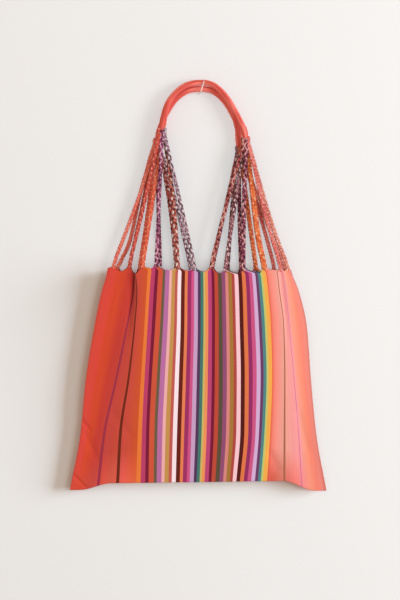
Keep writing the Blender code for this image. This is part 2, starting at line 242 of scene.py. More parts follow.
bag = {
    "width": 450.0,
    "thickness": 1.0,
    "rimHeight": -312.0,
    "foldHeight": -684.5,
    "foldRiseToRight": 6.0,
    "leftCornerDroop": 11.0,
    "rightCornerDroop": 18.0,
    "droopStarts": 20.0,
    "droopEnds": 75.0,
    "seamDepthAtRim": 10.0,
    "seamDepthAtFold": 7.6,
    "seamThickness": 3.8,
    "seamRound": 3.0,           # how far in from a seam the two panels close on it
    "foldRound": 3.0,           # how far up from the fold they do
    "backDepth": 2.6,
    "backEdgeReach": 30.0,
    "bellyAtRim": 17.5,
    "bellyAtFold": 3.0,
    "leftRise": 34.0,
    "rightRise": 24.0,
    "frontOnly": 15.0,          # no part of the back is further than this from the wall
    "seamColumns": (0.0, 0.5, 1.3, 2.4),                        # in from either seam
    "innerFrom": 4.0,           # in from either seam to the even columns
    "columnStep": 2.8,
    "fineColumns": ((4.0, 32.0, 1.9), (46.0, 58.0, 1.1)),       # from, to, step
    "fineMargin": 0.6,          # even columns as close as this to the fine ones are left out
    "rows": {"front": 150, "back": 76},                         # from a rim down to the fold
    "rowSpread": (0.2, 2.25, -1.45),        # of a cubic that sets rows closer by the rim and the fold
    "seamJoin": 0.05,           # vertices of the two panels within this are joined along a seam
    "levels": (0.0, 0.25, 0.5, 0.75, 0.9, 1.0),
    "warpLines": (
        # across, then x at each level from the fold up to the rim
        (0.0, -225.9, -207.4, -197.9, -182.4, -170.6, -159.0),
        (50.8, -177.0, -165.5, -144.5, -125.1, -115.0, -112.0),
        (85.0, -142.0, -136.5, -122.2, -111.5, -107.5, -110.3),
        (118.0, -107.0, -104.0, -98.7, -92.8, -89.4, -86.6),
        (140.0, -82.6, -81.2, -76.7, -70.7, -67.6, -65.4),
        (160.0, -63.3, -61.2, -56.9, -52.1, -50.1, -48.8),
        (178.6, -44.2, -41.8, -38.4, -35.1, -34.3, -33.3),
        (212.0, -11.0, -7.7, -5.4, -3.5, -3.4, -3.3),
        (243.0, 19.4, 23.7, 25.3, 25.7, 25.3, 24.4),
        (276.0, 51.3, 57.2, 58.1, 56.6, 55.2, 54.2),
        (308.0, 80.9, 89.2, 89.8, 87.3, 85.5, 83.0),
        (331.0, 102.6, 109.6, 112.4, 109.0, 105.1, 101.8),
        (347.5, 119.3, 125.1, 128.2, 125.4, 120.9, 116.6),
        (375.2, 149.3, 149.6, 150.0, 148.0, 140.9, 136.5),
        (405.3, 179.4, 173.8, 166.0, 157.5, 151.5, 146.5),
        (450.0, 224.5, 207.0, 197.4, 189.9, 177.0, 162.0),
    ),
    "folds": (
        # across, half width, depth, share of the height where it begins, and where it is full;
        # the last is the narrow pleat beside the deep one
        (57.0, 15.0, 11.0, 0.62, 0.98),
        (26.0, 16.0, 2.2, 0.40, 0.90),
        (392.0, 12.0, 3.0, 0.55, 0.90),
        (300.0, 30.0, 1.2, 0.30, 0.80),
        (52.0, 2.4, 3.4, 0.72, 0.95),
    ),
    "frontDips": (
        # x and height of the lowest point between one cord's foot and the next
        (-135.6, -312.0), (-111.6, -317.4), (-82.3, -307.3), (-50.8, -310.1), (-19.3, -311.2), (9.6, -313.3),
        (36.8, -316.0), (70.9, -316.8), (107.6, -314.8), (131.8, -310.1), (149.9, -311.6),
    ),
    "backDips": (
        (-130.0, -315.0), (-111.0, -316.0), (-82.0, -315.5), (-52.0, -316.0), (-26.0, -316.0), (8.0, -316.5),
        (40.0, -317.0), (63.0, -317.0), (89.0, -316.0), (119.0, -315.5), (142.0, -315.0),
    ),
    "cornerDrop": 3.0,          # from an outer cord's foot to the corner of the rim
    "cornerSlope": 14.0,        # the length over which the edge falls to a corner
    "scallopShape": 1.7,        # 1 is a straight slope from foot to dip, more is a hanging curve
    "scallopFades": 12.0,       # how far below the rim the scallops die out
    "footHalfWidth": 3.3,
    "gatherDeep": 7.0,          # how far below the edge the threads bend over towards a foot
    "gatherShape": 2.5,
    "creases": (
        # start x and height, end x and height, half width, depth
        (-206.0, -571.0, -192.0, -586.0, 2.4, 3.0),
        (-219.0, -668.0, -198.0, -689.0, 2.0, 2.6),
        (124.0, -628.0, 138.0, -657.0, 7.0, 2.4),
        (-150.0, -560.0, -118.0, -600.0, 8.0, 1.6),
        (-196.0, -600.0, -178.0, -640.0, 6.0, 1.8),
        (176.0, -560.0, 190.0, -620.0, 6.0, 1.6),
        (60.0, -500.0, 66.0, -600.0, 10.0, 0.6),
        (-20.0, -470.0, -26.0, -590.0, 12.0, 0.6),
    ),
    "creaseEnds": 6.0,          # a crease dies out over this length past its ends
}
panelHeight = bag["rimHeight"] - bag["foldHeight"]


def warpX(across, up):
    lines = np.array(bag["warpLines"])
    atLevels = [smoothThrough(lines[:, 0], column, across) for column in lines[:, 1:].T]
    return smoothThrough(bag["levels"], np.array(atLevels), up)


def rimLine():
    # places across the flat cloth, every half millimetre, and the x of each along the rim
    places = np.linspace(0.0, bag["width"], 2 * round(bag["width"]) + 1)
    return places, warpX(places, np.ones_like(places))


def foldLineHeight(across):
    left = bag["leftCornerDroop"] * (1 - smoothStep(bag["droopStarts"], bag["droopEnds"], across))
    fromRight = bag["width"] - across
    right = bag["rightCornerDroop"] * (1 - smoothStep(bag["droopStarts"], bag["droopEnds"], fromRight))
    return bag["foldHeight"] + bag["foldRiseToRight"] * across / bag["width"] - left - right


def seamDepth(up):
    return mix(bag["seamDepthAtFold"], bag["seamDepthAtRim"], up)


def frontDepth(across, up):
    left = 1 - np.exp(-across / bag["leftRise"])
    right = 1 - np.exp(-(bag["width"] - across) / bag["rightRise"])
    depth = seamDepth(up) + mix(bag["bellyAtFold"], bag["bellyAtRim"], up) * left * right
    for place, halfWidth, foldDepth, begins, full in bag["folds"]:
        trough = foldDepth * np.exp(-(((across - place) / halfWidth) ** 2))
        depth = depth - trough * smoothStep(begins, full, up)
    return depth


def backDepth(across, up):
    edge = np.exp(-across / bag["backEdgeReach"])
    edge = edge + np.exp(-(bag["width"] - across) / bag["backEdgeReach"])
    return mix(bag["backDepth"], seamDepth(up) - bag["seamThickness"], np.minimum(edge, 1.0))


def between(x, side, footX, dipX):
    # which of the places x lie on one side of a foot, as far as the dip there
    return (side * (x - footX) >= 0) & (side * (x - dipX) <= 0)


def rimLift(x, feet, dips):
    # height of the scalloped edge above the rim line: flat at each foot and hanging between them
    half = bag["footHalfWidth"]
    lift = np.zeros_like(x)
    corners = [(end * bag["width"], feet[foot][1] - bag["cornerDrop"]) for end, foot in ((-1, 0), (1, -1))]
    edges = [corners[0], *dips, corners[1]]     # the corners are set well outside the cloth
    for number, (footX, footHeight) in enumerate(feet):
        for side, (dipX, dipHeight) in ((-1, edges[number]), (1, edges[number + 1])):
            reach = abs(dipX - footX) - half
            if (dipX, dipHeight) in corners:
                reach = min(reach, bag["cornerSlope"])
            share = np.clip((side * (x - footX) - half) / reach, 0.0, 1.0)
            height = dipHeight + (footHeight - dipHeight) * (1 - share) ** bag["scallopShape"]
            lift = np.where(between(x, side, footX, dipX), height - bag["rimHeight"], lift)
    return lift


def threadPlaces(x, below, feet, dips):
    # which thread lies at x: near the edge they bend over and run along it to the foot of a cord
    places, rimX = rimLine()
    edges = [rimX[0], *[dipX for dipX, dipHeight in dips], rimX[-1]]
    leastDeep = 0.001           # so that nothing is divided by zero
    moved = x.copy()
    for number, (footX, footHeight) in enumerate(feet):
        for side, dipX in ((-1, edges[number]), (1, edges[number + 1])):
            reach = abs(dipX - footX)
            away = np.clip(side * (x - footX), 0.0, reach)
            deep = bag["gatherDeep"] * (1 - away / reach) + leastDeep
            bend = (reach - away) * np.clip(1 - below / deep, 0.0, 1.0) ** bag["gatherShape"]
            moved = np.where(between(x, side, footX, dipX), x + side * bend, moved)
    return np.interp(moved, rimX, places)


def creaseDepth(x, height):
    depth = np.zeros_like(x)
    for x0, z0, x1, z1, halfWidth, deep in bag["creases"]:
        length = math.hypot(x1 - x0, z1 - z0)
        along = ((x - x0) * (x1 - x0) + (height - z0) * (z1 - z0)) / length
        aside = ((x - x0) * (z1 - z0) - (height - z0) * (x1 - x0)) / length
        past = np.maximum(np.maximum(-along, along - length), 0.0) / bag["creaseEnds"]
        depth = depth + deep * np.exp(-((aside / halfWidth) ** 2) - past**2)
    return depth


def panelPoints(across, up, feet, dips, front):
    # x, depth, height and thread of each place on the outside of a panel
    x = warpX(across, up)
    below = (1 - up) * panelHeight
    lift = rimLift(x, feet, dips) * (1 - smoothStep(0.0, bag["scallopFades"], below))
    height = mix(foldLineHeight(across), bag["rimHeight"], up) + lift
    thread = np.where(below < bag["gatherDeep"], threadPlaces(x, below, feet, dips), across)
    outside = frontDepth(across, up) - creaseDepth(x, height) if front else backDepth(across, up)
    middle = (frontDepth(across, up) + backDepth(across, up)) / 2
    fromSeam = np.minimum(across, bag["width"] - across)
    closes = np.ones_like(across)
    for distance, reach in ((fromSeam, bag["seamRound"]), (up * panelHeight, bag["foldRound"])):
        closes = closes * np.sqrt(1 - (1 - np.clip(distance / reach, 0.0, 1.0)) ** 2)
    return x, middle + (outside - middle) * closes, height, thread


def rowHeights(count):
    # shares of the height, from the rim down to the fold
    down = np.linspace(0.0, 1.0, count + 1)
    first, second, third = bag["rowSpread"]
    return 1 - (first * down + second * down**2 + third * down**3)


def columnPlaces():
    # places across the flat cloth, closer by the seams and in the narrow folds
    edge = np.array(bag["seamColumns"])
    inner = np.arange(bag["innerFrom"], bag["width"] - bag["innerFrom"], bag["columnStep"])
    for low, high, step in bag["fineColumns"]:
        kept = (inner < low - bag["fineMargin"]) | (inner > high + bag["fineMargin"])
        inner = np.concatenate([inner[kept], np.arange(low, high, step)])
    return np.concatenate([edge, np.sort(inner), bag["width"] - edge[::-1]])


def buildCloth():
    # one grid, from the front's rim down to the fold and up to the back's rim
    columns = columnPlaces()
    frontUps, backUps = rowHeights(bag["rows"]["front"]), rowHeights(bag["rows"]["back"])
    ups = np.concatenate([frontUps, backUps[-2::-1]])
    bm = bmesh.new()
    bmesh.ops.create_grid(bm, x_segments=len(columns) - 1, y_segments=len(ups) - 1, size=0.5)
    flat = np.array([vertex.co[:2] for vertex in bm.verts]) + 0.5
    columnOf = np.rint(flat[:, 0] * (len(columns) - 1)).astype(int)
    rowOf = np.rint(flat[:, 1] * (len(ups) - 1)).astype(int)
    across, up = columns[columnOf], ups[rowOf]
    onFront = rowOf <= bag["rows"]["front"]
    places = np.zeros((len(across), 3))
    threads = np.zeros(len(across))
    for side, pick in (("front", onFront), ("back", ~onFront)):
        x, depth, height, thread = panelPoints(
            across[pick], up[pick], cordFeet(side), bag[side + "Dips"], side == "front"
        )
        places[pick] = np.stack([x, -depth, height], axis=1) * mm
        threads[pick] = thread
    along = np.where(onFront, 1 - up, 1 + up) * panelHeight
    layer = bm.loops.layers.uv.new("flatCloth")
    for face in bm.faces:
        for loop in face.loops:
            number = loop.vert.index
            loop[layer].uv = (threads[number] * mm, along[number] * mm)
    for vertex in bm.verts:
        vertex.co = places[vertex.index]
    onSeam = [vertex for vertex in bm.verts if columnOf[vertex.index] in (0, len(columns) - 1)]
    bmesh.ops.remove_doubles(bm, verts=onSeam, dist=bag["seamJoin"] * mm)
    bm.normal_update()
    inFront = [face for face in bm.faces if face.calc_center_median().y < -bag["frontOnly"] * mm]
    if sum(face.normal.y * face.calc_area() for face in inFront) > 0:
        bmesh.ops.reverse_faces(bm, faces=bm.faces)
    return meshFrom(bm, "bagCloth")


# Warp-faced cotton, handwoven: thread ends of each colour lie side by side, so the stripes are sharp
# across and run unbroken along. Fine ribs and slightly uneven dye give a soft matt surface.
weave = {
    "ground": (
        # place across the flat cloth, and the colour of the ground there, partly the cloth's own and partly
        # painted light and shade: deep red on the left, which turns away from the light, and light salmon on
        # the right, which faces it
        (0.0, "E64C3E"), (12.0, "E4483A"), (18.0, "DE4828"), (27.0, "D84628"), (34.0, "CE3C2E"),
        (42.0, "C93C30"), (62.0, "C9443A"), (75.0, "C84634"), (92.0, "CD483A"), (105.0, "D04E30"),
        (115.0, "D25222"), (347.5, "EE5A38"), (353.0, "F88674"), (360.0, "FC9486"), (370.0, "F2A090"),
        (383.0, "F8A496"), (396.0, "FC9E9C"), (411.0, "FC9E9A"), (417.0, "FC9C84"), (428.0, "FA8E72"),
        (435.0, "F6826E"), (443.0, "E88474"), (447.0, "E07C6C"), (450.0, "C86452"),
    ),
    "groundFoldLighting": (
        # the same close to the fold, with painted light at the lower left and painted shade, a darker red,
        # at the lower right
        (0.0, "E04C3E"), (18.0, "DC4A30"), (42.0, "CA4840"), (60.0, "E05040"), (75.0, "D85A46"),
        (95.0, "F05C50"), (110.0, "E66238"), (347.5, "E0583E"), (352.0, "E2604E"), (360.0, "DE6250"),
        (370.0, "DC7864"), (383.0, "EA766A"), (395.0, "FC8276"), (412.0, "FC908E"), (424.0, "FA987C"),
        (435.0, "F6826E"), (443.0, "F0887C"), (450.0, "C86452"),
    ),
    "foldShade": (8.0, 58.0),                   # full this far from the fold, and gone at the second length
    "stripes": (
        # place across the flat cloth where each stripe ends, and its colour, with none on the ground; the
        # thin purple line that ends at 53.0 is darkened and reddened, partly its own colour and partly
        # painted shade of the deep pleat it runs into
        (48.8, None), (53.0, "A02E44"), (82.6, None), (87.4, "6C2206"), (115.7, None),
        (121.5, "ED7A34"), (128.6, "BE3B66"), (135.1, "7C0C34"), (142.4, "D25236"), (149.4, "6C5A40"),
        (156.5, "BC6DA2"), (163.2, "F2B0AD"), (169.8, "C8924C"), (175.3, "C4584E"), (182.0, "FEE6EC"),
        (188.2, "661602"), (194.5, "EB7E50"), (200.7, "A02B62"), (206.9, "D25286"), (213.6, "CBA0C7"),
        (219.1, "513357"), (224.4, "42776C"), (227.6, "CEB662"), (233.1, "F19158"), (239.8, "BE4172"),
        (245.6, "780732"), (251.8, "C04631"), (258.9, "5A4A34"), (265.6, "924A70"), (272.7, "DB857E"),
        (278.2, "A87432"), (283.6, "B0453A"), (291.1, "FDC9D1"), (297.8, "540B01"), (304.9, "E47544"),
        (311.6, "962860"), (318.3, "D05384"), (325.7, "D7AFD7"), (331.9, "6B3864"), (337.4, "508586"),
        (340.4, "C4C96E"), (347.5, "F7AC4B"), (373.9, None), (376.5, "A8664A"), (404.6, None),
        (406.2, "D8709C"), (450.0, None),
    ),
    "stopsInOneRamp": 30,
    "threadStreak": 0.9,                        # width of a streak of uneven dye
    "threadStreakLength": 120.0,
    "ribPitch": 1.1,                            # two thread ends, coarser than real so that it shows
    "weftPitch": 1.5,
}


def waveScale(pitch):
    # the wave texture's own scale for bands a real pitch apart, as it turns 20 radians a metre at scale 1
    return 2 * math.pi / 20 / (pitch * mm)


def groundRamp(tree, share, table):
    ramp = addNode(tree, "ValToRGB", {0: share})
    setStops(ramp.color_ramp, [(place / bag["width"], linear(colour)) for place, colour in table])
    return ramp.outputs["Color"]


def stripeRamps(tree, share):
    # the stripes' colours, and where they cover the ground; one ramp can't hold all the stops
    starts = [0.0] + [end for end, colour in weave["stripes"][:-1]]
    clear = [0.0, 0.0, 0.0, 0.0]
    stops = [(start / bag["width"], linear(colour) if colour else clear)
             for start, (end, colour) in zip(starts, weave["stripes"])]
    stripe, cover = None, None
    for first in range(0, len(stops), weave["stopsInOneRamp"]):
        chunk = stops[first : first + weave["stopsInOneRamp"]]
        ramp = addNode(tree, "ValToRGB", {0: share})
        ramp.color_ramp.interpolation = "CONSTANT"
        setStops(ramp.color_ramp, chunk)
        if stripe is None:
            stripe, cover = ramp.outputs["Color"], ramp.outputs["Alpha"]
            continue
        past = addNode(tree, "Math", {0: share, 1: chunk[0][0]}, operation="GREATER_THAN").outputs[0]
        stripe = addNode(tree, "Mix", {0: past, 6: stripe, 7: ramp.outputs["Color"]},
                         data_type="RGBA").outputs[2]
        cover = addNode(tree, "Mix", {0: past, 2: cover, 3: ramp.outputs["Alpha"]}).outputs[0]
    return stripe, cover


def stripedCotton():
    material, tree, shader = startMaterial("stripedCotton", 0.88, specular=0.25, sheen=0.12)
    flat = addNode(tree, "UVMap", uv_map="flatCloth")
    parts = addNode(tree, "SeparateXYZ", {0: flat.outputs["UV"]})
    across = addNode(tree, "Math", {0: parts.outputs["X"], 1: 1 / (bag["width"] * mm)},
                     operation="MULTIPLY")
    share = across.outputs[0]
    # the ground's colours hold painted light and shade across the width
    ground = groundRamp(tree, share, weave["ground"])
    # near the fold the ground turns to painted light at the lower left and painted shade at the lower right
    foldLighting = groundRamp(tree, share, weave["groundFoldLighting"])
    pastFold = addNode(tree, "Math", {0: parts.outputs["Y"], 1: panelHeight * mm}, operation="SUBTRACT")
    fromFold = addNode(tree, "Math", {0: pastFold.outputs[0]}, operation="ABSOLUTE")
    near, far = weave["foldShade"]
    shade = addNode(tree, "MapRange", {0: fromFold.outputs[0], 1: near * mm, 2: far * mm, 3: 1.0, 4: 0.0})
    groundHere = addNode(tree, "Mix", {0: shade.outputs[0], 6: ground, 7: foldLighting}, data_type="RGBA")
    stripe, cover = stripeRamps(tree, share)
    striped = addNode(tree, "Mix", {0: cover, 6: groundHere.outputs[2], 7: stripe}, data_type="RGBA")
    streakScale = (1 / (weave["threadStreak"] * mm), 1 / (weave["threadStreakLength"] * mm), 1.0)
    threads = addNode(tree, "Mapping", {"Vector": flat.outputs["UV"], "Scale": streakScale})
    streaks = addNode(tree, "TexNoise", {"Vector": threads.outputs[0], "Scale": 1.0, "Detail": 2.0},
                      noise_dimensions="2D")
    streakTone = addNode(tree, "MapRange", {0: streaks.outputs["Fac"], 1: 0.25, 2: 0.75, 3: 0.93, 4: 1.06})
    dyed = addNode(tree, "HueSaturation", {"Value": streakTone.outputs[0], "Color": striped.outputs[2]})
    tree.links.new(dyed.outputs[0], shader.inputs["Base Color"])
    ribs = addNode(tree, "TexWave", {"Vector": flat.outputs["UV"], "Scale": waveScale(weave["ribPitch"]),
                   "Distortion": 0.6, "Detail": 1.0}, bands_direction="X")
    wefts = addNode(tree, "TexWave", {"Vector": flat.outputs["UV"], "Scale": waveScale(weave["weftPitch"]),
                    "Distortion": 0.8, "Detail": 1.0}, bands_direction="Y")
    relief = addNode(tree, "Math", {0: ribs.outputs["Fac"], 1: wefts.outputs["Fac"]}, operation="MULTIPLY")
    bump = addNode(tree, "Bump", {"Strength": 0.35, "Distance": 0.12 * mm, "Height": relief.outputs[0]})
    tree.links.new(bump.outputs[0], shader.inputs["Normal"])
    return material


cloth = addObject("bag_cloth", buildCloth(), stripedCotton())
thicken = cloth.modifiers.new("clothThickness", "SOLIDIFY")
thicken.thickness = bag["thickness"] * mm
thicken.offset = -1.0
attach(cloth, "root")
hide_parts("bag_body")
print("cloth made:", len(cloth.data.polygons), "faces")


# Handles: cloth tubes on the CAD centre lines, drawn in to narrow tips between the plaits

handles = {
    "pivot": (5.0, -12.0, -72.0),      # the middle of the loop, which the cuts turn round
    "cuts": 44,
    "cutsInset": 0.06,                 # radians from a tip to the first cut
    "clearOfTip": 9.0,                 # cuts nearer to a tip than this are slanted, so they are left out
    "step": 2.5,
    "sides": 24,
    "radius": 5.25,
    "tipLength": 12.0,
    "tipRadius": 2.6,
    "tipFullness": 0.6,                # under 1 keeps the tube full until close to its tip
    "swell": 0.12,                     # how unevenly the stuffing fills it
    "swellWaves": (9.0, 23.0),         # lengths of one radian of the two waves that make this
    "endSwell": 0.9,                   # how much fuller it is over the plaits' hidden ends
    "endSwellAt": 18.0,
    "endSwellReach": 11.0,
    "streaks": (5.0, 7.0, 1.0),        # of lighter and darker red, along the tube and round it; partly uneven tone, partly painted highlights and painted shade
}


def handleTips(side):
    # where the middles of its two bundles of cords start
    numbers = range(1, cords["count"] + 1)
    tops = np.array([cordLine(f"cord_{side}_{number:02d}")[0][0] for number in numbers])
    return tops[: cords["inBundle"]].mean(axis=0), tops[cords["inBundle"] :].mean(axis=0)


def loopLine(side):
    # the CAD handle's centre line, from cuts that turn round a place inside the loop
    node = "handle_" + side
    pivot = np.array(handles["pivot"]) * mm
    left, right = handleTips(side)
    first, last = [math.atan2(tip[2] - pivot[2], tip[0] - pivot[0]) for tip in (left, right)]
    inset = handles["cutsInset"]
    centres = [left]
    for angle in np.linspace(first % (2 * math.pi) - inset, last + inset, handles["cuts"]):
        towards = np.array([math.cos(angle), 0.0, math.sin(angle)])
        normal = np.array([-math.sin(angle), 0.0, math.cos(angle)])
        middle = sectionMiddle(node, pivot, normal, towards)[0]
        if min(np.linalg.norm(middle - tip) for tip in (left, right)) > handles["clearOfTip"] * mm:
            centres.append(middle)
    return smoothRoute(centres + [right], handles["step"] * mm)


def tubeRadius(fromTip):
    # the handle's radius at a distance from its tip, in millimetres
    share = np.clip(fromTip / handles["tipLength"], 0.0, 1.0) ** handles["tipFullness"]
    return mix(handles["tipRadius"], handles["radius"], share)


# Tightly sewn cotton tape: a smooth close cloth with a fine grain and a dull shine. Soft streaks of lighter
# and darker red run along it, partly uneven tone and partly painted highlights and painted shade.
def handleCotton():
    material, tree, shader = startMaterial("handleCotton", 0.7, specular=0.35, sheen=0.1)
    place = addNode(tree, "TexCoord")
    route = addNode(tree, "UVMap", uv_map="UVMap")         # X runs once along the tube and Y once round
    stretched = addNode(tree, "Mapping", {"Vector": route.outputs["UV"], "Scale": handles["streaks"]})
    streaks = addNode(tree, "TexNoise", {"Vector": stretched.outputs[0], "Scale": 1.0, "Detail": 2.0},
                      noise_dimensions="2D")
    # lighter and darker streaks along the tube: painted highlights and painted shade laid at random, with
    # some uneven tone
    streakTone = addNode(tree, "ValToRGB", {0: streaks.outputs["Fac"]})
    setStops(streakTone.color_ramp, [(0.34, linear("CE483A")), (0.5, linear("E65E50")), (0.66, linear("F28072"))])
    tree.links.new(streakTone.outputs[0], shader.inputs["Base Color"])
    fine = addNode(tree, "TexNoise", {"Vector": place.outputs["Object"], "Scale": 900.0, "Detail": 1.0})
    bump = addNode(tree, "Bump", {"Strength": 0.3, "Distance": 0.15 * mm, "Height": fine.outputs["Fac"]})
    tree.links.new(bump.outputs[0], shader.inputs["Normal"])
    return material


handleMaterial = handleCotton()
handlePaths = {}
for side in ("front", "back"):
    path = loopLine(side)
    handlePaths[side] = path
    lengths = pathLengths(path) / mm
    fromTip = np.minimum(lengths, lengths[-1] - lengths)
    short, long = handles["swellWaves"]
    fromSwell = (fromTip - handles["endSwellAt"]) / handles["endSwellReach"]
    radii = tubeRadius(fromTip)
    radii = radii + handles["swell"] * np.sin(lengths / short) * np.sin(lengths / long)
    radii = radii + handles["endSwell"] * np.exp(-(fromSwell**2))
    mesh = tubeMesh("handleTube", path, radii * mm, handles["sides"])
    tube = addObject(f"handle_{side}_tube", mesh, handleMaterial)
    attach(tube, "root")
    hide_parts("handle_" + side)
print("handles made")


# Plaits of three strands, one for each CAD cord, on its centre line

plaits = {
    "pitch": 17.5,               # one strand's way from edge to edge and back
    "longPitch": {5: 23.0},      # of the plaits that are wound more loosely
    "turn": 0.37,                # of a pitch, from one plait to the next, so that they don't look alike
    "halfWidth": 1.16,           # of the CAD cord's radius, to the outside of the strands
    "topHalfWidth": 3.9,         # a plait by the handle is squeezed no thinner than this
    "leastHalfWidth": 2.4,       # nor lower down than this
    "topEnds": (35.0, 90.0),     # lengths from the top between which the first gives way to the second
    "wide": {                    # plaits with thicker strands than their CAD cord
        "front": {3: 1.1, 5: 1.2, 9: 1.15, 10: 1.45},
        "back": {5: 1.2, 10: 1.15},
    },
    "topTaper": 0.5,             # share of its width that a plait has at its very top
    "topTaperEnds": 5.0,
    "strandRadius": 0.47,        # of the plait's half width
    "depthSwing": 0.36,          # of the half width, by which strands pass over and under each other
    "step": 1.5,
    "sides": 8,
    "footReach": 3.0,            # how far a plait runs on into the cloth below its foot
    "sideReach": 7.0,            # how far the outer plaits run up beside the handle's tip
    "middleReach": 3.0,          # the same for the middle ones
    "middlePlaits": (3, 4),      # numbers of those in a bundle
    "reachStep": 2.5,
    "tipSeat": 0.6,              # share of its half width by which a plait sinks in against the tip
    "valleyFrom": (0.45, 0.95),  # how far sideways a strand faces where its shade starts and is full
    "colours": (
        # a row for each plait of a side, left to right: the first and second yarn of each strand
        ("FF8670", "F4705C", "FFA08C", "FC7E6A", "FF8C78", "F06C5A"),
        ("E65848", "C44034", "F07C68", "CE4C3E", "E05448", "F89884"),
        ("FF6A4A", "E4563A", "FF8C6A", "F4684A", "FF7854", "FFA486"),
        ("963E65", "4E1832", "DE9AB2", "80325A", "AC4F7A", "F6BFCE"),
        ("C86256", "6A241C", "F8E0D6", "C86256", "D87A6C", "8E3C32"),
        ("A67888", "5A3A44", "F6E8EC", "B8909E", "DEBEC6", "7E5A64"),
        ("A84040", "5C1C24", "E4A494", "943A40", "C05654", "ECB0A4"),
        ("A0646C", "5A2C32", "F2D2D0", "9C5A66", "C88A8E", "743E48"),
        ("84304C", "44141F", "D48892", "802C46", "A04A66", "EEB4B0"),
        ("FF8448", "E4622C", "FFB084", "F47A48", "FA8C50", "DC6834"),
        ("FF8C80", "E0665A", "FFB0A2", "F47E76", "FF9288", "E8726C"),
        ("FFA68C", "E48272", "FFCCBC", "F69886", "FFA28C", "EA8878"),
    ),
    "slots": {
        "front": ("yarn_coral", "yarn_red", "yarn_coral", "yarn_plum", "yarn_brown", "yarn_plum",
                  "yarn_red", "yarn_brown", "yarn_plum", "yarn_orange", "yarn_red", "yarn_coral"),
        "back": ("yarn_red", "yarn_coral", "yarn_orange", "yarn_plum", "yarn_brown", "yarn_plum",
                 "yarn_red", "yarn_brown", "yarn_plum", "yarn_orange", "yarn_coral", "yarn_coral"),
    },
}


# Plaited cotton yarn: several thin dyed ends lie together in each strand and twist slowly round it,
# so a strand shows two colours in short slanting runs, matt and a little hairy.
yarn = {
    "twistPitch": 10.0,         # one turn of the ends round a strand
    "colourGroups": 1,          # times that the two colours change round a strand
    "patchLength": 4.5,         # how far one mix of the two colours runs along a strand
    "fineEnds": 9,              # single yarns round a strand, which the relief shows
    "valleyShade": "B89C94",    # what the shade in the valleys between strands leaves of a colour
    "strandShift": 50.0,        # how far on in the pattern each next strand starts
    "plaitShift": 170.0,        # and each next plait
    "rimShift": 40.0,           # and the rim yarns of each next foot
}


def plaitedYarn():
    material, tree, shader = startMaterial("plaitedYarn", 0.92, specular=0.2, sheen=0.2)
    route = addNode(tree, "UVMap", uv_map="UVMap")         # X in millimetres along, Y in turns round
    parts = addNode(tree, "SeparateXYZ", {0: route.outputs["UV"]})
    first = addNode(tree, "Attribute", attribute_name="firstYarn")
    second = addNode(tree, "Attribute", attribute_name="secondYarn")
    twist = addNode(tree, "Math", {0: parts.outputs["X"], 1: 1 / yarn["twistPitch"], 2: parts.outputs["Y"]},
                    operation="MULTIPLY_ADD")
    turned = addNode(tree, "Math", {0: twist.outputs[0], 1: 2 * math.pi * yarn["colourGroups"]},
                     operation="MULTIPLY")
    wave = addNode(tree, "Math", {0: turned.outputs[0]}, operation="SINE")
    along = addNode(tree, "Math", {0: parts.outputs["X"], 1: 1 / yarn["patchLength"]}, operation="MULTIPLY")
    patches = addNode(tree, "TexNoise", {"W": along.outputs[0], "Scale": 1.0, "Detail": 1.0},
                      noise_dimensions="1D")
    bias = addNode(tree, "MapRange", {0: patches.outputs["Fac"], 1: 0.3, 2: 0.7, 3: -0.9, 4: 0.7})
    mixed = addNode(tree, "Math", {0: wave.outputs[0], 1: bias.outputs[0]}, operation="ADD")
    pick = addNode(tree, "MapRange", {0: mixed.outputs[0], 1: -0.1, 2: 0.25, 3: 0.0, 4: 1.0})
    both = addNode(tree, "Mix", {0: pick.outputs[0], 6: first.outputs["Color"], 7: second.outputs["Color"]},
                   data_type="RGBA")
    valley = addNode(tree, "Attribute", attribute_name="valley")
    darkest = linear(yarn["valleyShade"])
    shaded = addNode(tree, "Mix", {0: valley.outputs["Fac"], 6: both.outputs[2], 7: darkest},
                     data_type="RGBA", blend_type="MULTIPLY")
    tree.links.new(shaded.outputs[2], shader.inputs["Base Color"])
    fine = addNode(tree, "Math", {0: twist.outputs[0], 1: 2 * math.pi * yarn["fineEnds"]},
                   operation="MULTIPLY")
    ridges = addNode(tree, "Math", {0: fine.outputs[0]}, operation="SINE")
    bump = addNode(tree, "Bump", {"Strength": 0.6, "Distance": 0.2 * mm, "Height": ridges.outputs[0]})
    tree.links.new(bump.outputs[0], shader.inputs["Normal"])
    return material


def topBeside(side, number, top):
    # points on which a plait starts, up beside the handle's tapered tip and then down to the CAD cord
    path = handlePaths[side] if number <= cords["inBundle"] else handlePaths[side][::-1]
    lengths = pathLengths(path) / mm
    inMiddle = number % cords["inBundle"] in plaits["middlePlaits"]
    tip = path[0]
    points = []
    for fromTip in np.arange(plaits["middleReach" if inMiddle else "sideReach"], 0.0, -plaits["reachStep"]):
        centre = alongColumns(fromTip, lengths, path)
        ahead = alongColumns(fromTip + 1.0, lengths, path) - centre
        ahead /= np.linalg.norm(ahead)
        aside = top - tip - np.dot(top - tip, ahead) * ahead
        seat = tubeRadius(fromTip) + plaits["topHalfWidth"] * (1 - plaits["tipSeat"])
        points.append(centre + aside / np.linalg.norm(aside) * seat * mm)
    return points


def addStrand(bm, mesh, colours, valley, length, shift):
    # gives a strand its two colours and its shade, has its UV map run in millimetres, and joins it on
    for name, colour in zip(("firstYarn", "secondYarn"), colours):
        layer = mesh.attributes.new(name, "FLOAT_COLOR", "POINT")
        layer.data.foreach_set("color", np.tile(linear(colour), len(mesh.vertices)))
    mesh.attributes.new("valley", "FLOAT", "POINT").data.foreach_set("value", valley)
    for loop in mesh.uv_layers[0].data:
        loop.uv = (loop.uv[0] * length / mm + shift, loop.uv[1])
    bm.from_mesh(mesh)
    bpy.data.meshes.remove(mesh)


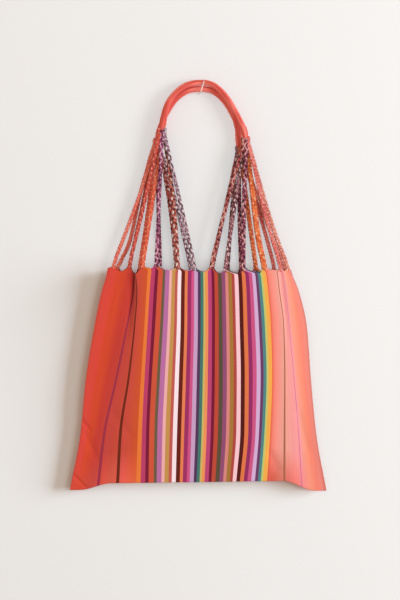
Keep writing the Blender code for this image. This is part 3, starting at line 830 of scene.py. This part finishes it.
def buildPlait(side, number, colours):
    node = f"cord_{side}_{number:02d}"
    centres, radii = cordLine(node)
    ahead = centres[-1] - centres[-2]
    below = centres[-1] + ahead * (plaits["footReach"] * mm / np.linalg.norm(ahead))
    points = np.vstack([*topBeside(side, number, centres[0]), centres, below])
    path = smoothRoute(points, plaits["step"] * mm)
    lengths = pathLengths(path)
    half = np.interp(-path[:, 2], -centres[:, 2], radii) * plaits["halfWidth"]
    fromTop = smoothStep(*plaits["topEnds"], lengths / mm)
    half = np.maximum(half, mix(plaits["topHalfWidth"], plaits["leastHalfWidth"], fromTop) * mm)
    half = half * mix(1.0, plaits["wide"][side].get(number, 1.0), fromTop)
    half = half * mix(plaits["topTaper"], 1.0, smoothStep(0.0, plaits["topTaperEnds"] * mm, lengths))
    pitch = plaits["longPitch"].get(number, plaits["pitch"])
    along = np.gradient(path, axis=0)
    along /= np.linalg.norm(along, axis=1)[:, None]
    flat = np.cross(along, [0.0, 1.0, 0.0])
    flat /= np.linalg.norm(flat, axis=1)[:, None]
    thick = np.cross(along, flat)
    bm = bmesh.new()
    for strand in range(3):
        phase = 2 * math.pi * (lengths / (pitch * mm) + strand / 3 + number * plaits["turn"])
        swing = (1 - plaits["strandRadius"]) * half * np.sin(phase)
        over = plaits["depthSwing"] * half * np.sin(2 * phase)
        line = path + flat * swing[:, None] + thick * over[:, None]
        mesh = tubeMesh("strand", line, half * plaits["strandRadius"], plaits["sides"])
        heights = np.array([vertex.co.z for vertex in mesh.vertices])
        normals = np.array([vertex.normal[:] for vertex in mesh.vertices])
        sideways = alongColumns(-heights, -path[:, 2], flat)
        valley = smoothStep(*plaits["valleyFrom"], np.abs((normals * sideways).sum(axis=1)))
        shift = strand * yarn["strandShift"] + number * yarn["plaitShift"]
        addStrand(bm, mesh, colours[2 * strand : 2 * strand + 2], valley, pathLengths(line)[-1], shift)
    return meshFrom(bm, node + "_plait")


# The outermost threads of each group run along the scalloped edge to the foot of their cord.
rimYarns = {
    "radius": 0.85,
    "thinRadius": 0.5,
    "pointsEach": 9,
    "sides": 8,
    "reaches": (0.15, 1.05),        # shares of the way from a foot to the dip beside it
    "cornerInset": 0.5,
    "risesIntoFoot": 3.0,
    "secondYarn": 0.72,             # how light its second colour is against its first
    "front": (
        # colours to the left and to the right of each foot
        ("E05A48", "D8503C"), ("A83A32", "7C1C1C"), ("9A3028", "EC7838"), ("B0609C", "F4CCD0"),
        ("D8A05A", "7A3048"), ("E8B0C8", "503452"), ("D8804C", "7A1030"), ("C090B0", "2C1814"),
        ("A02C60", "5C1E44"), ("E88038", "E8A090"), ("E87464", "F09080"), ("F08878", "E87060"),
    ),
    "back": (
        ("D85444", "D0503C"), ("B0403A", "8A2420"), ("A0342C", "E87838"), ("B0609C", "F0CCD0"),
        ("D0985A", "7A3048"), ("E0A8C0", "503452"), ("D0784C", "7A1030"), ("B888A8", "2C1814"),
        ("982A5C", "5C1E44"), ("E07C38", "E09888"), ("E07060", "E88878"), ("E88070", "E06C5C"),
    ),
}


def buildRimYarns(side):
    feet, dips = cordFeet(side), bag[side + "Dips"]
    places, rimX = rimLine()
    inset = rimYarns["cornerInset"]
    edges = [rimX[0] + inset, *[dipX for dipX, dipHeight in dips], rimX[-1] - inset]
    share = np.linspace(*rimYarns["reaches"], rimYarns["pointsEach"])
    bm = bmesh.new()
    for number, (footX, footHeight) in enumerate(feet):
        for colour, dipX in zip(rimYarns[side][number], (edges[number], edges[number + 1])):
            x = footX + (dipX - footX) * share
            across = np.interp(x, rimX, places)
            ones = np.ones_like(x)
            if side == "front":
                depth = frontDepth(across, ones) - bag["thickness"] / 2
            else:
                depth = backDepth(across, ones) + bag["thickness"] / 2
            height = bag["rimHeight"] + rimLift(x, feet, dips)
            height[0] += rimYarns["risesIntoFoot"]
            path = np.stack([x, -depth, height], axis=1) * mm
            radii = mix(rimYarns["radius"], rimYarns["thinRadius"], share) * mm
            mesh = tubeMesh("rimYarn", path, radii, rimYarns["sides"])
            colours = (colour, darker(colour, rimYarns["secondYarn"]))
            noValley = np.zeros(len(mesh.vertices))
            addStrand(bm, mesh, colours, noValley, pathLengths(path)[-1], number * yarn["rimShift"])
    return meshFrom(bm, f"rim_{side}_yarns")


yarnMaterial = plaitedYarn()
for side in ("front", "back"):
    edging = addObject(f"rim_{side}_yarns", buildRimYarns(side), yarnMaterial)
    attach(edging, "root")
for side in ("front", "back"):
    for number, colours in enumerate(plaits["colours"], start=1):
        plait = addObject(f"plait_{side}_{number:02d}", buildPlait(side, number, colours), yarnMaterial)
        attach(plait, "root")
        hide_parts(f"cord_{side}_{number:02d}")
print("plaits made")


# Hook: the CAD wire in a better finish.
# Painted steel wire, bent cold and dipped: smooth, with a soft gloss and a slightly cloudy white.

def paintedWire():
    material, tree, shader = startMaterial("paintedWire", 0.35)
    place = addNode(tree, "TexCoord")
    cloud = addNode(tree, "TexNoise", {"Vector": place.outputs["Object"], "Scale": 300.0, "Detail": 2.0})
    paint = addNode(tree, "ValToRGB", {0: cloud.outputs["Fac"]})
    setStops(paint.color_ramp, [(0.3, linear("E2CFC6")), (0.7, linear("EEDFD6"))])
    tree.links.new(paint.outputs[0], shader.inputs["Base Color"])
    return material


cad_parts["hook"].material_slots[0].material = paintedWire()
print("hook painted")


# The room: a plain wall behind the bag and a pale floor

room = {
    "wallY": 0.5,               # just behind the hook's end and the cloth
    "reach": 4000.0,            # of the wall and the floor, either way
    "floorHeight": -1050.0,
    "wallColour": "C1B2A7",
    "floorColour": "E6E5E2",
}


# Flat emulsion paint: quite matt, with no grain that shows from a step away. The wall is clear from
# behind, so that the bag's back can be seen through it.
def plainPaint(name, colour, clearFromBehind):
    material, tree, shader = startMaterial(name, 0.95, specular=0.1)
    shader.inputs["Base Color"].default_value = linear(colour)
    if clearFromBehind:
        facing = addNode(tree, "NewGeometry").outputs["Backfacing"]
        clear = addNode(tree, "BsdfTransparent")
        both = addNode(tree, "MixShader", {0: facing, 1: shader.outputs[0], 2: clear.outputs[0]})
        tree.links.new(both.outputs[0], tree.nodes["Material Output"].inputs["Surface"])
    return material


def buildPlane(name, place, turn, material):
    bm = bmesh.new()
    bmesh.ops.create_grid(bm, x_segments=1, y_segments=1, size=room["reach"] * mm)
    bm.transform(Matrix.Translation(Vector(place) * mm) @ Matrix.Rotation(turn, 4, "X"))
    plane = addObject(name, meshFrom(bm, name), material)
    return plane


wallMiddle = (0.0, room["wallY"], room["floorHeight"] + room["reach"])
wallPaint = plainPaint("wallPaint", room["wallColour"], True)
floorPaint = plainPaint("floorPaint", room["floorColour"], False)
backdrop = buildPlane("wall", wallMiddle, math.pi / 2, wallPaint)
backdrop.visible_shadow = False      # so that daylight reaches the back of the bag in a view from behind
backdrop.visible_diffuse = False
buildPlane("floor", (0.0, 0.0, room["floorHeight"]), 0.0, floorPaint)


# Light: a wide soft window from the right and daylight all round. A low light that grazes the wall
# gives the broad soft shadow that the bag throws to its left. It lights the wall alone, and the
# cloth alone shades it. It is tall, so that the shadow has no sharp top edge.

light = {
    "aim": (0.0, 0.0, -350.0),
    "window": {
        "place": (6000.0, -4300.0, -300.0), "size": (2800.0, 2800.0), "power": 369.0, "colour": "DFE9FF",
    },
    "low": {
        "place": (11800.0, -2000.0, 900.0), "size": (2600.0, 7000.0), "power": 10350.0, "colour": "C6E7FF",
    },
    "sky": 0.7875,
    "skyColour": "FFF9EC",
}


def addAreaLight(name, place, size, power, colour):
    data = bpy.data.lights.new(name, "AREA")
    data.shape = "RECTANGLE"
    data.size, data.size_y = size[0] * mm, size[1] * mm
    data.energy = power
    data.color = linear(colour)[:3]
    lamp = bpy.data.objects.new(name, data)
    lamp.location = Vector(place) * mm
    aim = Vector(light["aim"]) * mm - lamp.location
    lamp.rotation_euler = aim.to_track_quat("-Z", "Y").to_euler()
    bpy.context.scene.collection.objects.link(lamp)
    return lamp


def linkedTo(name, objects):
    collection = bpy.data.collections.new(name)
    for obj in objects:
        collection.objects.link(obj)
    return collection


addAreaLight("windowLight", **light["window"])
lowLight = addAreaLight("lowLight", **light["low"])
lowLight.light_linking.receiver_collection = linkedTo("litByLowLight", [backdrop])
lowLight.light_linking.blocker_collection = linkedTo("blocksLowLight", [cloth])
world = bpy.data.worlds.new("daylight")
world.use_nodes = True
daylight = world.node_tree.nodes["Background"]
daylight.inputs["Color"].default_value = linear(light["skyColour"])
daylight.inputs["Strength"].default_value = light["sky"]
bpy.context.scene.world = world
bpy.context.scene.view_settings.view_transform = "Standard"


# Camera: straight at the bag from 2.5 m, as in the photograph

camera = {
    "aim": (2.6, -12.0, -362.0),
    "distance": 2500.0,
    "seenHeight": 1050.0,       # of what it sees at that distance
    "sensor": 36.0,
}
cameraData = bpy.data.cameras.new("camera")
cameraData.sensor_width = camera["sensor"]
cameraData.lens = camera["sensor"] * camera["distance"] / camera["seenHeight"]
cameraObject = bpy.data.objects.new("camera", cameraData)
cameraObject.location = (Vector(camera["aim"]) - Vector((0.0, camera["distance"], 0.0))) * mm
cameraObject.rotation_euler = (math.pi / 2, 0.0, 0.0)
bpy.context.scene.collection.objects.link(cameraObject)
bpy.context.scene.camera = cameraObject
print("camera and light made")
